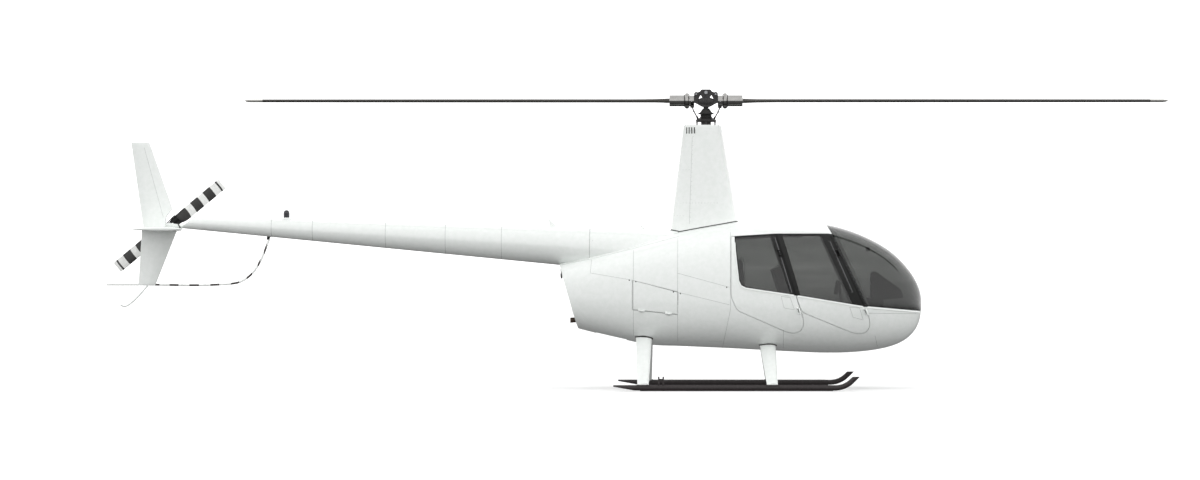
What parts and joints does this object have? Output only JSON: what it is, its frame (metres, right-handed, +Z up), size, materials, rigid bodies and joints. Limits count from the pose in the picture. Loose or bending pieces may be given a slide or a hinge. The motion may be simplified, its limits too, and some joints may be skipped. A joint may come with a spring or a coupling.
{
  "type": "light helicopter",
  "caption": "Light helicopter on skids with a tall faired mast, teetering main rotor, slim tail boom with side tail rotor, split fins, tail guard, hinged cabin doors and cowl doors.",
  "frame": {"origin": "centre of the bounding box's footprint, at ground height under the skids", "axes": "+X forward to the nose, +Y to the left, +Z up; the main rotor blades are parked along X"},
  "size_m": [11.56, 2.177, 3.256],
  "materials": {
    "white_paint": "gloss",
    "black_paint": "satin",
    "tinted_acrylic": "gloss",
    "dark_steel": "satin",
    "grey_alloy": "satin",
    "gear_paint": "gloss",
    "blade_paint": "satin",
    "tail_blade_paint": "satin",
    "seat_leather": "matte",
    "cabin_trim": "matte",
    "lamp_cover": "gloss"
  },
  "bodies": {
    "airframe": {"cabin_shell": "white_paint", "windshield_left": "tinted_acrylic", "windshield_right": "tinted_acrylic", "windshield_post": "black_paint", "cabin_floor": "cabin_trim", "rear_bulkhead": "cabin_trim", "seat_front_left": "seat_leather", "seat_front_right": "seat_leather", "seat_rear_left": "seat_leather", "seat_rear_right": "seat_leather", "instrument_console": "cabin_trim", "cyclic_stick": "black_paint", "pedals": "grey_alloy", "aft_cowling": "white_paint", "rear_screen": "dark_steel", "engine_block": "grey_alloy", "cooling_fan": "grey_alloy", "main_gearbox": "grey_alloy", "swashplate_lower": "grey_alloy", "mast_fairing": "white_paint", "tail_boom": "white_paint", "tail_gearbox": "grey_alloy", "upper_fin": "white_paint", "lower_fin": "white_paint", "horizontal_stabilizer": "white_paint", "tail_guard": "white_paint", "tail_skid": "white_paint", "beacon_base": "white_paint", "beacon_lens": "lamp_cover", "antenna_front": "white_paint", "antenna_rear": "white_paint", "skid_left": "dark_steel", "skid_right": "dark_steel", "leg_front_left": "gear_paint", "leg_front_right": "gear_paint", "leg_rear_left": "gear_paint", "leg_rear_right": "gear_paint"},
    "main_rotor": {"rotor_mast": "grey_alloy", "swashplate_upper": "grey_alloy", "pitch_link_a": "grey_alloy", "pitch_link_b": "grey_alloy"},
    "rotor_head": {"rotor_hub": "dark_steel", "main_blade_a": "blade_paint", "main_blade_b": "blade_paint"},
    "tail_rotor": {"tail_rotor_hub": "grey_alloy", "tail_blade_a": "tail_blade_paint", "tail_blade_b": "tail_blade_paint"},
    "front_door_right": {"door_front_right": "white_paint", "door_window_front_right": "tinted_acrylic"},
    "front_door_left": {"door_front_left": "white_paint", "door_window_front_left": "tinted_acrylic"},
    "rear_door_right": {"door_rear_right": "white_paint", "door_window_rear_right": "tinted_acrylic"},
    "rear_door_left": {"door_rear_left": "white_paint", "door_window_rear_left": "tinted_acrylic"},
    "service_door_right": {"cowl_door_right": "white_paint"},
    "service_door_left": {"cowl_door_left": "white_paint"}
  },
  "joints": [
    {"name": "main_rotor_spin", "type": "hinge", "parent": "airframe", "child": "main_rotor", "pos_m": [0.75, 0, 1.72], "axis": [0, 0, 1], "continuous": true},
    {"name": "main_rotor_teeter", "type": "hinge", "parent": "main_rotor", "child": "rotor_head", "pos_m": [0.75, 0, 3.222], "axis": [0, 1, 0], "range_deg": [-8, 8]},
    {"name": "tail_rotor_spin", "type": "hinge", "parent": "airframe", "child": "tail_rotor", "pos_m": [-5.131, 0.23, 1.774], "axis": [0, 1, 0], "continuous": true},
    {"name": "front_door_right_hinge", "type": "hinge", "parent": "airframe", "child": "front_door_right", "pos_m": [2.486, -0.60294, 0.84], "axis": [-0.4245, 0.0417, 0.9045], "range_deg": [0, 68]},
    {"name": "front_door_left_hinge", "type": "hinge", "parent": "airframe", "child": "front_door_left", "pos_m": [2.486, 0.60294, 0.84], "axis": [0.4245, 0.0417, -0.9045], "range_deg": [0, 68]},
    {"name": "rear_door_right_hinge", "type": "hinge", "parent": "airframe", "child": "rear_door_right", "pos_m": [1.7625, -0.6788, 0.85], "axis": [-0.3095, 0.0974, 0.9459], "range_deg": [0, 65]},
    {"name": "rear_door_left_hinge", "type": "hinge", "parent": "airframe", "child": "rear_door_left", "pos_m": [1.7625, 0.6788, 0.85], "axis": [0.3095, 0.0974, -0.9459], "range_deg": [0, 65]},
    {"name": "service_door_right_hinge", "type": "hinge", "parent": "airframe", "child": "service_door_right", "pos_m": [-0.041, -0.52737, 0.859], "axis": [0.9855, -0.1346, -0.1036], "range_deg": [0, 100]},
    {"name": "service_door_left_hinge", "type": "hinge", "parent": "airframe", "child": "service_door_left", "pos_m": [-0.041, 0.52737, 0.859], "axis": [-0.9855, -0.1346, 0.1036], "range_deg": [0, 100]}
  ]
}
